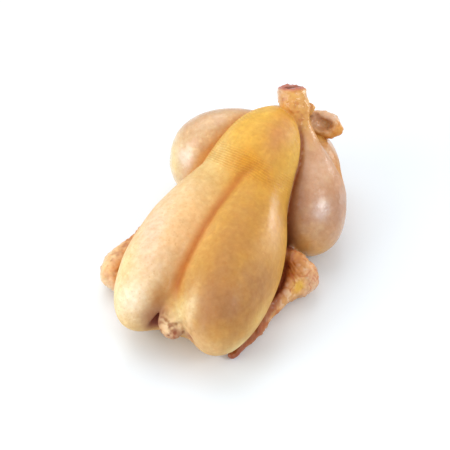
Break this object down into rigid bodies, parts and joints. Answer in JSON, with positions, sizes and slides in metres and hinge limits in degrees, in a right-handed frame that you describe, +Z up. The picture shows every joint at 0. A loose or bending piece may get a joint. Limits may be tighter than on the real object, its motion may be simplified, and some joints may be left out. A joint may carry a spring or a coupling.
{
  "type": "whole raw chicken",
  "caption": "Plucked raw chicken lying on its back, legs crossed at the hocks and wings tucked along the breast, as sold for roasting.",
  "frame": {"origin": "middle of the bird's footprint, on the surface it lies on", "axes": "+Y from the neck end to the tail, +Z up from the back to the breast, +X towards the viewer's right when the neck end faces the viewer"},
  "size_m": [0.1542, 0.2406, 0.1025],
  "materials": {
    "skin": "moist raw poultry skin, cream to deep yellow with pinkish brown patches, softly wet"
  },
  "bodies": {
    "root": {"chicken": "skin"}
  },
  "joints": []
}
